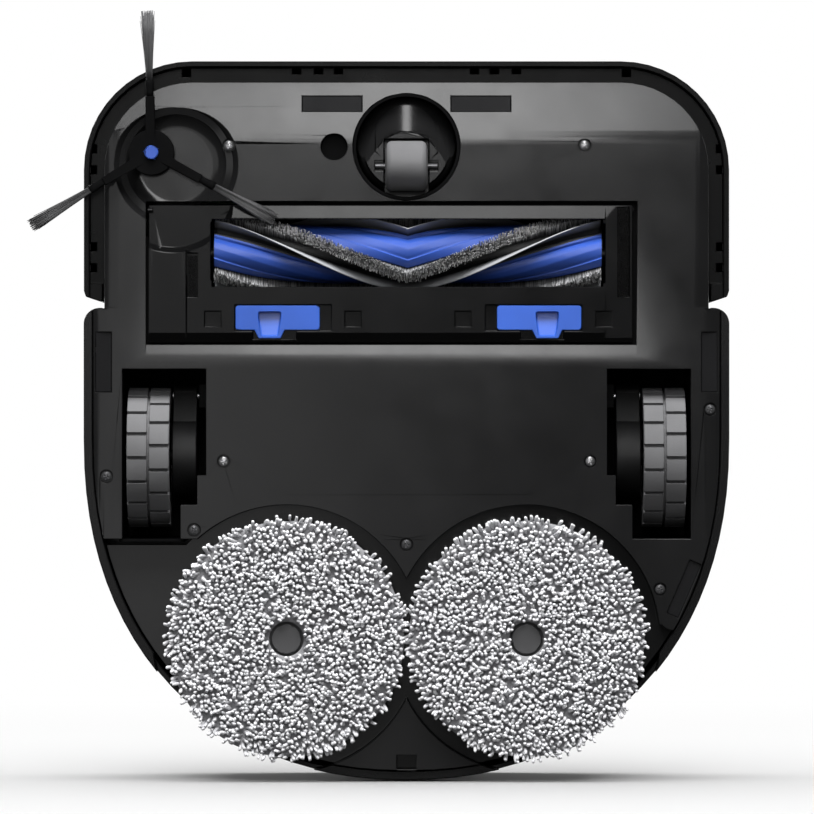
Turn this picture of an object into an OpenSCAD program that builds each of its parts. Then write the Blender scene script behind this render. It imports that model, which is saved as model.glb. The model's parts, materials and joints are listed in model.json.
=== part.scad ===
// Robot vacuum: a D-shaped floor robot with a sliding front bumper, a roller brush under a
// latched guard, a side brush, two sprung drive wheels, a caster and two lifting mop discs.
// Millimetres, +Z up, the floor is z = 0 and the front of the robot faces -Y.

/* [Body] */
// Half of the body's width
half_w = 161; // [157:0.5:165]
// Front face of the bumper along Y
front_y = -179; // [-182:0.5:-176]
// Radius of the two front corners
corner_r = 54; // [46:1:62]
// Where the straight sides end and the rounded rear begins
rear_y = 9.5; // [5:0.5:14]
// Length of the rounded rear
rear_len = 170; // [166:0.5:174]
// Exponent of the rear curve, 2 is an ellipse and larger is squarer
rear_exp = 2.2; // [2:0.05:2.4]
// Height of the body above the floor
body_h = 95; // [93:0.5:98]
// Thickness of the outer shells
shell_t = 2.6; // [2:0.1:3]

/* [Underside] */
// Height of the chassis above the floor
plate_z = 9.5; // [9:0.1:10]
// Thickness of the chassis plate
plate_t = 3; // [2.5:0.1:3.5]
// Where the underside starts to rise towards the front
ramp_y = -137.5; // [-140:0.5:-134]
// Radius of that rise
ramp_r = 82; // [76:1:95]
// Step in from the outline to the front of the chassis
front_step = 10.3; // [9.5:0.1:11]
// Step in from the outline to the rear of the chassis
rear_step = 4.8; // [4.4:0.1:5.5]

/* [Bumper] */
// End of the bumper's side walls
bumper_end = -59.5; // [-61:0.5:-59.5]
// Front end of the rear shell
shell_start = -56; // [-56:0.5:-54]
// How far the bumper gives way
bumper_travel = 3; // [2:0.5:3]
// Lower edge of the bumper
bumper_z = 13; // [12:0.5:15]

/* [Side brush] */
// Axis of the side brush along X
side_x = -127; // [-129:0.5:-126]
// Axis of the side brush along Y
side_y = -133.2; // [-135:0.5:-132]
// Reach of its bristles
side_reach = 71; // [64:1:76]
// Reach of its rubber arms
arm_reach = 28; // [25:1:30]

/* [Caster] */
// Swivel axis of the caster along Y
caster_y = -136.2; // [-138:0.5:-135]
// Distance that the wheel trails behind the swivel axis
caster_trail = 9.5; // [7:0.5:10]
// Radius of the caster wheel
caster_r = 12.5; // [11:0.5:13]

/* [Roller brush] */
// Axis of the roller along Y
roll_y = -83; // [-84:0.5:-82]
// Axis of the roller above the floor
roll_z = 22.8; // [22.5:0.1:24]
// Radius over the bristles
roll_r = 20; // [18:0.5:20]
// Half of the roller's length
roll_half = 97; // [90:0.5:97]
// Twist of the bristle strips over half of the length
roll_twist = 117; // [90:1:130]

/* [Drive wheels] */
// Wheel centre along Y
wheel_y = 18.8; // [18:0.1:20]
// Wheel radius
wheel_r = 35; // [34:0.5:35]
// Outer face of the tyre
tyre_out = 139.2; // [138:0.2:139.4]
// Width of the tyre
tyre_w = 21; // [19:0.5:21]
// Suspension pivot along Y
pivot_y = -12; // [-13:0.5:-11]
// Suspension pivot above the floor
pivot_z = 40; // [38:0.5:42]
// Lugs in one row round the tyre
lug_count = 18; // [12:1:20]

/* [Mops] */
// Distance of each mop's axis from the middle
mop_x = 59.75; // [59.7:0.05:60.2]
// Mop axes along Y
mop_y = 109; // [108:0.5:110]
// Radius of a mop pad
mop_r = 59.4; // [57:0.1:59.4]
// Thickness of a mop pad
pad_t = 6.5; // [5:0.5:6.5]
// How far the mops lift
mop_lift = 10; // [6:1:10]

/* [Hidden] */
$fn = 64;
round_n = 48;

// Colours
black = [0.045, 0.045, 0.05];
soft_black = [0.07, 0.07, 0.075];
blue = [0.12, 0.27, 0.78];
grey = [0.33, 0.33, 0.34];
steel = [0.75, 0.75, 0.77];
pad_grey = [0.78, 0.78, 0.8];

// Levels and clearances that follow from the driving sizes
plate_top = plate_z + plate_t;
deck_z = body_h - 9;
deck_t = 2;
rim_z = body_h - 4;
cover_z = deck_z + deck_t + 0.3;
gap = 0.3;
fit = 0.05;
bay_r = 66.8;
bay_wall = 2;
bay_ceiling = 21.5;
bay_end = 57;
// Outline of the opening for the roller brush, and of its guard
bay = [-130, 115, -109, -37.7];
guard = [-128.4, 112.6, -107, -38.7];
mouth = [-97, 98, -100, -66.4];
guard_z = 6.5;
guard_top = 12.2;
latch_y = [-57.1, -44.8];
latch_len = 42;
latch_travel = 5;
latch_left_x = -85.2;
latch_right_x = 45.1;
hinge_y = -104.6;
hinge_z = 9.2;
// Wheel openings, given for the left side and mirrored for the right
well = [-141.7, -100, -25.5, 59.3];
well_step = [[-104.3, 27.5], [-112.6, 42.3]];
well_wall = 1.6;
well_top = 84.5;
casing = [-117, -105];
casing_r = 20;
// Dish under the side brush
dish_x = -114.9;
dish_y = -127.5;
dish_floor = 14.8;
// The dust bin's outer box
bin = [-75, 75, -28, 40, 36, 84];
bin_wall = 2;
// Screws on the underside, as X and Y, and the level that their heads seat at
silver_at = [[-88.5, -136.9], [88.8, -137], [-91.2, 20.6], [91.6, 20.6]];
dark_at = [[-149.6, 28.1], [-105.9, 54.8], [0, 62], [151.3, -5.3], [126.4, 84.4]];
function seat_z(p) = plate_z + 1.7 + (norm([p[0] - dish_x, p[1] - dish_y]) < 31 ? 2.2 : 0);
// Cliff sensors, as X, Y, width, length and turn
side_windows = [[-151, -28.9, 8, 30, 0], [151, -28.9, 8, 30, 0], [138.3, 84.1, 6.5, 29, 23.5]];
front_window_x = 37.1;
front_window_y = -157.8;
front_window = [30, 8.3];
carpet_at = [-36.1, -136.2];
// Side brush arms, as angles
arm_angles = [-91.5, 28.5, 148.5];
strip_angles = [-36, 84, 204];
// The row's origin is the middle of the whole robot's box, side brush included
tuft_half = 3.2;
tip_angle = arm_angles[2];
brush_left = side_x + side_reach * cos(tip_angle) - tuft_half * sin(tip_angle);
brush_front = side_y + side_reach * sin(arm_angles[0]);
origin_x = (brush_left + half_w) / 2;
origin_y = (brush_front + rear_y + rear_len) / 2;

// ---- Shared shapes ----

// A box between two corners
module span(x0, x1, y0, y1, z0, z1) {
  translate([x0, y0, z0]) cube([x1 - x0, y1 - y0, z1 - z0]);
}

// A rectangle with round corners
module round_rect(x0, x1, y0, y1, r) {
  translate([x0 + r, y0]) square([x1 - x0 - 2 * r, y1 - y0]);
  translate([x0, y0 + r]) square([x1 - x0, y1 - y0 - 2 * r]);
  for (x = [x0 + r, x1 - r], y = [y0 + r, y1 - r]) translate([x, y]) circle(r);
}

module round_box(x0, x1, y0, y1, z0, z1, r) {
  translate([0, 0, z0]) linear_extrude(z1 - z0) round_rect(x0, x1, y0, y1, r);
}

// Everything above the rising underside
module above_ramp() {
  rod_x(-200, 200, ramp_y, plate_z + ramp_r, ramp_r);
  span(-200, 200, ramp_y, 200, plate_z, 100);
}

// Rounds the front corners of whatever covers the rear half
module notch_corners() {
  for (s = [-1, 1]) scale([s, 1, 1]) difference() {
    span(half_w - 8, half_w + 1, shell_start - 1, shell_start + 8, 0, 100);
    post(half_w - 8, shell_start + 8, -1, 101, 8);
  }
}

// A cylinder lying along X
module rod_x(x0, x1, y, z, r) {
  translate([x0, y, z]) rotate([0, 90, 0]) cylinder(h = x1 - x0, r = r);
}

// A profile of Y and Z points, swept along X
module sweep_x(x0, x1, points) {
  translate([x0, 0, 0]) rotate([90, 0, 90]) linear_extrude(x1 - x0) polygon(points);
}

// An upright cylinder
module post(x, y, z0, z1, r) {
  translate([x, y, z0]) cylinder(h = z1 - z0, r = r);
}

// Points along an arc
function arc(x, y, r, from, to, n) =
  [for (i = [0:n]) let (a = from + (to - from) * i / n) [x + r * cos(a), y + r * sin(a)]];

// The rounded rear, stepped in by e
function rear_points(e) = [for (i = [0:round_n / 2]) let (a = 180 * i / round_n)
  [(half_w - e) * pow(cos(a), 2 / rear_exp), rear_y + (rear_len - e) * pow(sin(a), 2 / rear_exp)]];

function half_outline(e) = concat(
  arc(half_w - corner_r, front_y + corner_r, corner_r - e, -90, 0, 12), rear_points(e));

// The body's outline, stepped in by e
module outline(e) {
  right = half_outline(e);
  last = len(right) - 1;
  left = [for (i = [last - 1:-1:0]) [-right[i][0], right[i][1]]];
  polygon(concat(right, left));
}

module front_part(y) {
  intersection() {
    children();
    translate([-200, -220]) square([400, y + 220]);
  }
}

module rear_part(y) {
  intersection() {
    children();
    translate([-200, y]) square([400, 220 - y]);
  }
}

// Everything mirrored to the right side when it is asked for
module on_side(right) {
  if (right) mirror([1, 0, 0]) children();
  else children();
}

// Moves the model from the body's frame to the row's frame
module place() {
  translate([-origin_x, -origin_y, 0]) children();
}

// The shallow dish that the side brush turns in, as a solid to cut away
module dish() {
  translate([dish_x, dish_y, 0]) rotate_extrude()
    polygon(concat([[0, guard_z - 1], [36, guard_z - 1], [31, plate_z], [28.4, 11.6]],
      arc(18, dish_floor - 11, 11, 50, 90, 6), [[0, dish_floor]]));
}

// The shallower start of that dish on the brush guard
module guard_dish() {
  translate([dish_x - 1.5, dish_y + 10.8, 0]) rotate_extrude()
    polygon([[0, 5], [36, 5], [33.4, guard_z], [30.6, 8.7], [0, 8.7]]);
}

// The two mop bays seen from below
module mop_circles(r) {
  for (s = [-1, 1]) translate([s * mop_x, mop_y]) circle(r);
}

// The stepped opening of a left wheel, grown by e
module well_shape(e) {
  difference() {
    translate([well[0] - e, well[2] - e]) square([well[1] - well[0] + 2 * e, well[3] - well[2] + 2 * e]);
    for (s = well_step) translate([s[0] + e, s[1] + e]) square([60, 60]);
  }
}

// ---- Fixed body ----

module chassis_outline() {
  front_part(shell_start + 1) outline(front_step);
  rear_part(shell_start + 0.5) outline(rear_step);
}

// The plate's plan: the right rear keeps a rounded wing, the left rear ends at the wheel
module chassis_plan() {
  difference() {
    chassis_outline();
    mop_circles(bay_r);
    translate([-200, well[3]]) square([200 - mop_x, 200]);
    difference() {
      translate([mop_x, 96]) square([200, 200]);
      translate([134, 96]) circle(9);
    }
    translate([bay[0], bay[2]]) square([bay[1] - bay[0], bay[3] - bay[2]]);
    well_shape(0);
    mirror([1, 0]) well_shape(0);
    translate([0, caster_y]) circle(26.8);
    translate(carpet_at) circle(6.6);
    for (w = side_windows) translate([w[0], w[1]]) rotate(w[4]) square([w[2], w[3]], center = true);
    for (s = [-1, 1]) translate([s * front_window_x, front_window_y]) square(front_window, center = true);
    translate([side_x, side_y]) circle(3.2);
    for (p = silver_at) translate(p) circle(1.4);
    for (p = dark_at) translate(p) circle(1.4);
    translate([-5, 167]) square([10, 7.5]);
  }
}

// A sheet as thick as the plate, flat and then a little thicker as it rises towards the front
module plate_sheet(z0, z1) {
  span(-200, 200, ramp_y, 200, z0, z1);
  difference() {
    intersection() {
      rod_x(-200, 200, ramp_y, plate_z + ramp_r, plate_z + ramp_r - z0);
      span(-200, 200, -200, ramp_y + 0.01, z0, 40);
    }
    rod_x(-201, 201, ramp_y, plate_z + ramp_r, plate_z + ramp_r - z1 - 0.5);
  }
}

// Softened edge along each side of the underside
module side_roll(x, y0, y1) {
  r = 20;
  difference() {
    span(x, x + 12, y0, y1, plate_z - 1, plate_z + 4);
    translate([x, y0 - 1, plate_z + r]) rotate([-90, 0, 0]) cylinder(h = y1 - y0 + 2, r = r);
  }
}

module chassis() color(black) place() {
  difference() {
    union() {
      intersection() {
        translate([0, 0, plate_z - 1]) linear_extrude(30) chassis_plan();
        plate_sheet(plate_z, plate_top);
      }
      // backing of the side brush dish
      intersection() {
        post(dish_x, dish_y, plate_z + 1.5, dish_floor + 2, 38.5);
        translate([0, 0, plate_z]) linear_extrude(30) difference() {
          outline(front_step);
          translate([bay[0], bay[2]]) square([80, 80]);
          translate([side_x, side_y]) circle(3.2);
          for (p = silver_at) translate(p) circle(1.4);
        }
        above_ramp();
      }
      // walls and ceilings of the two mop bays
      translate([0, 0, plate_z]) linear_extrude(bay_ceiling - plate_z + bay_wall) intersection() {
        outline(rear_step);
        difference() {
          mop_circles(bay_r + bay_wall);
          mop_circles(bay_r);
          translate([-200, well[3]]) square([200 - mop_x - 8, 200]);
          translate([mop_x + 8, 102]) square([200, 200]);
        }
      }
      translate([0, 0, bay_ceiling]) linear_extrude(bay_wall) difference() {
        intersection() {
          outline(rear_step);
          union() {
            mop_circles(bay_r + bay_wall);
            rear_part(well[3] + 3) square(400, center = true);
          }
        }
        mop_circles(7.5);
      }
      // upright wall behind the bumper, open in front of the range sensor
      difference() {
        intersection() {
          translate([0, 0, plate_z]) linear_extrude(well_top - plate_z) front_part(-30) difference() {
            outline(15);
            outline(16.8);
          }
          above_ramp();
        }
        post(0, caster_y, 0, 37, 26.8);
        span(-38, 38, -170, -150, 40, 74);
      }
      // seats of the screws
      for (p = silver_at) difference() {
        post(p[0], p[1], plate_z + 1, seat_z(p) + 3.4, 4.6);
        post(p[0], p[1], plate_z, plate_top + 9, 1.4);
      }
    }
    dish();
    for (p = silver_at) post(p[0], p[1], plate_z - 2, seat_z(p), 3.2);
    for (p = dark_at) post(p[0], p[1], plate_z - 1, plate_z + 1.3, 3.2);
    for (s = [-1, 1]) scale([s, 1, 1]) {
      side_roll(143, -200, shell_start);
      side_roll(148.6, shell_start + 0.4, 60);
    }
    // sloping strip behind the brush opening
    sweep_x(bay[0], bay[1], [[bay[3] - 1, plate_z - 1], [-32.4, plate_z - 1], [-32.4, plate_z],
      [bay[3] - 1, plate_z + 1.3]]);
  }
}

module rear_shell() color(black) place() {
  difference() {
    union() {
      // side wall
      translate([0, 0, plate_top]) linear_extrude(deck_z - plate_top) difference() {
        rear_part(shell_start) outline(0);
        rear_part(shell_start + shell_t) outline(shell_t);
        translate([-151.5, shell_start - 1]) square([303, 60]);
      }
      // lip round the underside
      translate([0, 0, plate_z + 1.3]) linear_extrude(plate_t) rear_part(shell_start) difference() {
        outline(0);
        outline(rear_step - 0.4);
      }
    }
    notch_corners();
    // room for the mop discs
    for (s = [-1, 1]) post(s * mop_x, mop_y, 0, bay_ceiling, bay_r);
    // slots of the charging contacts
    for (s = [-1, 1]) span(s * 20 - 7, s * 20 + 7, 170, 190, 28, 36);
  }
}

module charging_contacts() color(steel) place() {
  for (s = [-1, 1]) span(s * 20 - 6.8, s * 20 + 6.8, 176.2, 178.6, 28.2, 35.8);
}

// Front half is the visible deck, the rear half lies under the lift-off cover
module top_shell() color(soft_black) place() {
  front_deck = -60;
  difference() {
    union() {
      translate([0, 0, deck_z]) linear_extrude(deck_t) {
        front_part(shell_start + 1) outline(front_step);
        rear_part(shell_start) outline(shell_t / 2);
      }
      translate([0, 0, deck_z + deck_t]) linear_extrude(body_h - deck_z - deck_t)
        front_part(front_deck) outline(front_step);
    }
    translate([0, 0, deck_z + deck_t]) linear_extrude(body_h - deck_z - deck_t - 2.4)
      front_part(front_deck - 2.4) outline(front_step + 2.4);
    notch_corners();
    post(0, -120, deck_z + 2.1, body_h + 1, 9.3);
    span(bin[0] - 1.5, bin[1] + 1.5, bin[2] - 1, bin[3] + 1.5, deck_z - 1, deck_z + 3);
  }
}

module top_cover() color(soft_black) place() {
  front_deck = -59.4;
  difference() {
    translate([0, 0, cover_z]) linear_extrude(body_h - cover_z) {
      rear_part(front_deck) outline(front_step);
      rear_part(shell_start) outline(1.5);
    }
    translate([0, 0, cover_z - 1]) linear_extrude(body_h - cover_z - 1.4)
      rear_part(shell_start + 2.4) outline(4);
    notch_corners();
    // finger recess at the rear edge
    post(0, 196, cover_z - 1, body_h - 2, 24);
  }
}

module power_button() color(grey) place() {
  post(0, -120, body_h - 3.4, body_h - 0.2, 9);
  post(0, -120, deck_z + 3.4, body_h - 3.4, 4);
}

// The wheel wells' moulded housings
module wheel_housing(right) color(black) place() on_side(right) {
  difference() {
    translate([0, 0, plate_top + 0.1]) linear_extrude(well_top - plate_top) well_shape(well_wall);
    translate([0, 0, plate_z]) linear_extrude(well_top - plate_z - well_wall) well_shape(0);
  }
  // boss that holds the pivot pin
  difference() {
    span(casing[1] + 1.2, well[1] + 0.4, pivot_y - 6, pivot_y + 6, 24, 62);
    rod_x(casing[1], well[1] + 5, pivot_y, pivot_z, 2 + fit / 2);
  }
}

module wheel_housing_left() wheel_housing(false);
module wheel_housing_right() wheel_housing(true);

module pivot_pins() color(steel) place() {
  for (r = [false, true]) on_side(r) rod_x(casing[0] - 0.5, well[1], pivot_y, pivot_z, 2);
}

module dash(x, y, w, l, turn, z0, z1) {
  translate([x, y, z0]) rotate(turn) translate([-w / 2, -l / 2, 0]) cube([w, l, z1 - z0]);
}

module cliff_windows() color([0.02, 0.02, 0.025]) place() {
  for (w = side_windows) dash(w[0], w[1], w[2] - 0.4, w[3] - 0.4, w[4], plate_z + 1, plate_top);
  for (s = [-1, 1]) difference() {
    intersection() {
      dash(s * front_window_x, front_window_y, front_window[0] - 0.4, front_window[1] - 0.4, 0, 0, 30);
      rod_x(-60, 60, ramp_y, plate_z + ramp_r, ramp_r - 0.5);
    }
    rod_x(-61, 61, ramp_y, plate_z + ramp_r, ramp_r - plate_t);
  }
}

// A countersunk cross-head screw, head down
module screw(x, y, z) {
  difference() {
    union() {
      post(x, y, z, z + 1.3, 2.4);
      post(x, y, z + 1.3, z + 9, 1.2);
    }
    for (a = [0, 90]) translate([x, y, z - 0.1]) rotate(a) translate([-1.5, -0.3, 0]) cube([3, 0.6, 0.9]);
  }
}

module silver_screws() color(steel) place() {
  for (p = silver_at) screw(p[0], p[1], seat_z(p) - 1.3);
}

module dark_screws() color(soft_black) place() {
  for (p = dark_at) screw(p[0], p[1], plate_z);
}

module carpet_sensor() color([0.02, 0.02, 0.02]) place() {
  post(carpet_at[0], carpet_at[1], plate_top + 0.8, 24, 6.4);
}

module caster_socket() color(black) place() {
  difference() {
    post(0, caster_y, plate_z, 36, 26.5);
    post(0, caster_y, plate_z - 1, 33, 25.2);
    post(0, caster_y, 30, 40, 4 + fit);
  }
}

module side_brush_motor() color(grey) place() {
  difference() {
    post(side_x, side_y, dish_floor + 2.1, 48, 13.5);
    post(side_x, side_y, dish_floor, 26, 2.5 + fit);
  }
}

// The tunnel round the roller, with the suction mouth at its back
module brush_housing() color(black) place() {
  wall = 2.4;
  tunnel = roll_r + 2.6;
  head = 14.6;
  difference() {
    union() {
      span(bay[0] - 1.5, bay[1] + 1.5, bay[2] - 1.5, bay[3] + 1.5, plate_top + 0.1, head + 2);
      rod_x(-105, 106, roll_y, roll_z, tunnel + wall);
      span(-27, 27, roll_y, -36.4, 32, 50);
    }
    span(-200, 200, -200, 0, -10, plate_top + 0.1);
    span(bay[0] + 0.1, bay[1] - 0.1, bay[2] + 0.2, bay[3] - 0.2, plate_z, head);
    rod_x(-102.6, 103.6, roll_y, roll_z, tunnel);
    span(-102.6, 103.6, roll_y - tunnel, roll_y + tunnel, head - 1, roll_z);
    span(-25, 25, roll_y, -35, 34, 48);
    rod_x(-110, 110, roll_y, roll_z, 3.2);
    post(dish_x, dish_y, plate_z, dish_floor + 2.2, 38.8);
    post(0, caster_y, plate_z, 20, 27);
  }
}

module brush_bearing() color(soft_black) place() {
  difference() {
    rod_x(-102.4, -98.4, roll_y, roll_z, 8);
    rod_x(-104, -98, roll_y, roll_z, 3 + fit);
  }
}

// Gearbox at the right end of the roller, with the motor behind the tunnel
module brush_drive() color(soft_black) place() {
  difference() {
    union() {
      round_box(106.2, 116.4, -102, -39, 17, 48, 4);
      rod_x(48, 106.2, -46.5, 31, 9.5);
    }
    rod_x(106, 112, roll_y, roll_z, 3 + fit);
  }
}

module air_duct() color(soft_black) place() {
  difference() {
    span(-27, 27, -36.3, -28.1, 32, 50);
    span(-25, 25, -37, -27, 34, 48);
  }
}

module battery() color([0.1, 0.12, 0.16]) place() {
  round_box(-75, 75, -28, 37.5, plate_top + 1, 34, 4);
}

module main_board() color([0.05, 0.25, 0.12]) place() {
  round_box(-104, 104, -116, -46, 56, 57.6, 5);
  span(-60, -32, -104, -76, 57.6, 60.5);
  span(10, 30, -98, -78, 57.6, 60);
  for (x = [-90:18:90]) post(x, -60, 57.6, 66, 3.6);
  span(60, 96, -112, -104, 57.6, 66);
}

module suction_fan() color(soft_black) place() {
  difference() {
    union() {
      post(0, 84, 57, 84, 36);
      span(10, 36, 84, 119, 60, 82);
    }
    post(0, 84, 60, 82, 33);
    span(13, 33, 84, 120, 63, 79);
    post(0, 84, 80, 85, 14);
  }
}

module fan_impeller() color(grey) place() {
  difference() {
    union() {
      post(0, 84, 64, 66, 30);
      post(0, 84, 64, 77, 6);
      for (a = [0:40:320]) translate([0, 84, 66]) rotate(a) translate([5, -0.6, 0]) cube([24.5, 1.2, 9]);
    }
    post(0, 84, 63, 78, 1.5);
  }
}

module water_tank() color([0.45, 0.5, 0.55]) place() {
  difference() {
    round_box(-42, 42, 124, 164, 50, 84, 6);
    round_box(-40, 40, 126, 162, 52, 82, 4);
  }
}

module range_sensor() color([0.03, 0.03, 0.035]) place() {
  round_box(-34, 34, -160.5, -146, 42, 72, 2);
}

module guide_rods() color(steel) place() {
  for (s = [-1, 1]) post(s * 92, mop_y, bay_ceiling + bay_wall, 62, 2);
}

module lift_motor() color(soft_black) place() {
  round_box(-17, 17, 94, 120, 42.5, 56, 3);
}

// ---- Bumper ----

module bumper_ring(e0, e1) {
  front_part(bumper_end) difference() {
    outline(e0);
    outline(e1);
  }
}

module bumper() color(black) place() {
  difference() {
    union() {
      translate([0, 0, bumper_z]) linear_extrude(rim_z - bumper_z) bumper_ring(0, shell_t + 0.2);
      translate([0, 0, rim_z - 3]) linear_extrude(3) bumper_ring(shell_t, 6.8);
      translate([0, 0, 20]) linear_extrude(1.6) bumper_ring(shell_t, 11.6);
      translate([0, 0, deck_z - 3]) linear_extrude(2.4) bumper_ring(shell_t, 11.6);
      for (s = [-1, 1]) scale([s, 1, 1])
        span(151.8, half_w - 1, -68, bumper_end, bumper_z + 2, deck_z - 0.6);
    }
    // chamfered ends
    for (s = [-1, 1]) scale([s, 1, 1]) linear_extrude(100)
      polygon([[half_w + 1, bumper_end - 5], [half_w, bumper_end - 5], [half_w - 1, bumper_end - 2],
        [half_w - 7, bumper_end], [half_w - 7, bumper_end + 1], [half_w + 1, bumper_end + 1]]);
    // window of the range sensor
    span(-46, 46, front_y - 1, front_y + shell_t + 1, 42, 72);
    // notches along the lower flange
    for (x = [-110, -55, -44, -34, 34, 44, 55, 110])
      span(x - 2, x + 2, -200, front_y + 6 + (abs(x) > 100 ? 1.5 : 0), 18, 22);
    for (s = [-1, 1], y = [-135.5, -125, -86.5, -76]) scale([s, 1, 1])
      span(half_w - 6, half_w - shell_t, y - 2, y + 2, 18, 22);
  }
}

module bumper_window() color([0.02, 0.02, 0.03]) place() {
  span(-45.8, 45.8, front_y + 0.3, front_y + shell_t - 0.2, 42.2, 71.8);
}

// ---- Dust bin ----

module dust_bin() color([0.2, 0.2, 0.22]) place() {
  difference() {
    round_box(bin[0], bin[1], bin[2], bin[3], bin[4], bin[5] - 3, 6);
    round_box(bin[0] + bin_wall, bin[1] - bin_wall, bin[2] + bin_wall, bin[3] - 12, bin[4] + bin_wall, 90, 4);
    span(bin[0] + 8, bin[1] - 8, bin[3] - 10, bin[3] - 3, bin[4] + 6, 90);
    span(bin[0] + 12, bin[1] - 12, bin[3] - 14, bin[3] + 1, bin[4] + 10, bin[5] - 9);
    span(-25, 25, bin[2] - 1, bin[2] + 4, 38, 48);
  }
}

module bin_lid() color(soft_black) place() {
  difference() {
    round_box(bin[0], bin[1], bin[2], bin[3], bin[5] - 3, bin[5] + 2, 6);
    round_box(-24, 24, -8, 10, bin[5] - 0.5, bin[5] + 3, 5);
  }
}

module bin_filter() color([0.85, 0.85, 0.82]) place() {
  span(bin[0] + 8.3, bin[1] - 8.3, bin[3] - 9.7, bin[3] - 3.3, bin[4] + 6.3, bin[5] - 3.3);
}

// ---- Drive wheels, given for the left side ----

module wheel_arm(right) color(black) place() on_side(right) {
  difference() {
    union() {
      rod_x(casing[0], casing[1], wheel_y, wheel_r, casing_r);
      rod_x(casing[0], casing[1], pivot_y, pivot_z, 6);
      translate([casing[0], 0, 0]) rotate([90, 0, 90]) linear_extrude(casing[1] - casing[0])
        polygon([[pivot_y, pivot_z + 6], [pivot_y - 3, pivot_z - 5], [wheel_y - 6, wheel_r - 15],
          [wheel_y, wheel_r + 17]]);
    }
    rod_x(casing[0] - 1, casing[1] + 1, pivot_y, pivot_z, 2 + fit);
    rod_x(casing[0] - 1, casing[0] + 9, wheel_y, wheel_r, 4 + fit);
  }
}

module wheel_arm_left() wheel_arm(false);
module wheel_arm_right() wheel_arm(true);

// A helical spring between the arm and the housing's ceiling
module suspension_spring(right) color(steel) place() on_side(right) {
  wire = 0.7;
  coil_r = 3.6;
  turns = 7;
  z0 = pivot_z + 13;
  z1 = well_top - well_wall - 1.5;
  rings = turns * 10;
  sides = 6;
  pts = [for (i = [0:rings], k = [0:sides - 1])
    let (a = 360 * turns * i / rings, b = 360 * k / sides, r = coil_r + wire * cos(b))
    [-111 + r * cos(a), 2 + r * sin(a), z0 + (z1 - z0) * i / rings + wire * sin(b)]];
  skin = [for (i = [0:rings - 1], k = [0:sides - 1])
    [i * sides + k, i * sides + (k + 1) % sides, (i + 1) * sides + (k + 1) % sides, (i + 1) * sides + k]];
  ends = [[for (k = [sides - 1:-1:0]) k], [for (k = [0:sides - 1]) rings * sides + k]];
  polyhedron(pts, concat(skin, ends));
}

module suspension_spring_left() suspension_spring(false);
module suspension_spring_right() suspension_spring(true);

module wheel_hub(right) color(soft_black) place() on_side(right) {
  difference() {
    union() {
      rod_x(-tyre_out + 2, -tyre_out + tyre_w - 1, wheel_y, wheel_r, wheel_r - 9);
      rod_x(-tyre_out + tyre_w - 1, casing[0] + 8, wheel_y, wheel_r, 4);
    }
    rod_x(-tyre_out, -tyre_out + 6, wheel_y, wheel_r, wheel_r - 13);
    for (a = [0:60:300]) translate([-tyre_out, wheel_y, wheel_r]) rotate([a, 0, 0])
      translate([-1, 0, 13]) rotate([0, 90, 0]) cylinder(h = 40, r = 4);
  }
}

module wheel_hub_left() wheel_hub(false);
module wheel_hub_right() wheel_hub(true);

// Two rows of lugs half a pitch apart
module tyre(right) color(grey) place() on_side(right) {
  pitch = 360 / lug_count;
  row_w = tyre_w / 2;
  difference() {
    rod_x(-tyre_out, -tyre_out + tyre_w, wheel_y, wheel_r, wheel_r);
    rod_x(-tyre_out - 1, -tyre_out + tyre_w + 1, wheel_y, wheel_r, wheel_r - 9);
    for (row = [0, 1], i = [0:lug_count - 1])
      translate([-tyre_out + row * row_w, wheel_y, wheel_r]) rotate([pitch * (i + row / 2), 0, 0])
        translate([-0.01, -0.9, wheel_r - 2.2]) cube([row_w + 0.02, 1.8, 4]);
    translate([-tyre_out + row_w - 0.6, wheel_y, wheel_r]) rotate([0, 90, 0]) difference() {
      cylinder(h = 1.2, r = wheel_r + 1);
      translate([0, 0, -1]) cylinder(h = 4, r = wheel_r - 2.2);
    }
  }
}

module tyre_left() tyre(false);
module tyre_right() tyre(true);

// ---- Caster ----

module caster_fork() color(black) place() {
  wheel_at = caster_y + caster_trail;
  front_lean = 17;
  front_r = 45;
  boss_r = 17;
  difference() {
    union() {
      intersection() {
        translate([0, caster_y, 11]) rotate_extrude()
          polygon(concat([[0, 0], [21.5, 0]], arc(17.9, 7, 6.8, -55, 0, 6), [[24.7, 16], [21, 21], [0, 21]]));
        // rounded slope in front of the wheel, and a round boss about it
        union() {
          translate([0, wheel_at - boss_r + front_r * sin(front_lean), 11 + front_r * cos(front_lean)])
            rotate([90 - front_lean, 0, 0]) translate([0, 0, -50]) cylinder(h = 100, r = front_r);
          post(0, wheel_at, 5, 40, boss_r);
          span(-30, 30, wheel_at, wheel_at + 40, 5, 40);
        }
      }
      post(0, caster_y, 31, 39, 4);
    }
    // slot of the wheel, and the notches that its axle drops into
    span(-11.3, 11.3, wheel_at - caster_r - 1.2, caster_y + 30, 5, caster_r * 2 + 1.4);
    for (s = [-1, 1]) scale([s, 1, 1]) span(11, 15.8, wheel_at - 2.6, wheel_at + 2.6, 5, caster_r);
    rod_x(-15.5, 15.5, wheel_at, caster_r, 1.5);
  }
}

module caster_axle() color(steel) place() {
  rod_x(-15.5, 15.5, caster_y + caster_trail, caster_r, 1.5);
}

// Barrel-shaped wheel
module caster_wheel() color(grey) place() {
  w = 10.6;
  difference() {
    translate([0, caster_y + caster_trail, caster_r]) rotate([0, 90, 0]) rotate_extrude()
      polygon(concat([[0, -w], [8, -w]], arc(caster_r - 3, -w + 3.4, 3, -60, 0, 5),
        arc(caster_r - 3, w - 3.4, 3, 0, 60, 5), [[8, w], [0, w]]));
    rod_x(-w - 1, w + 1, caster_y + caster_trail, caster_r, 1.5 + fit);
  }
}

// ---- Roller brush, its guard and the guard's latches ----

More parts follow.
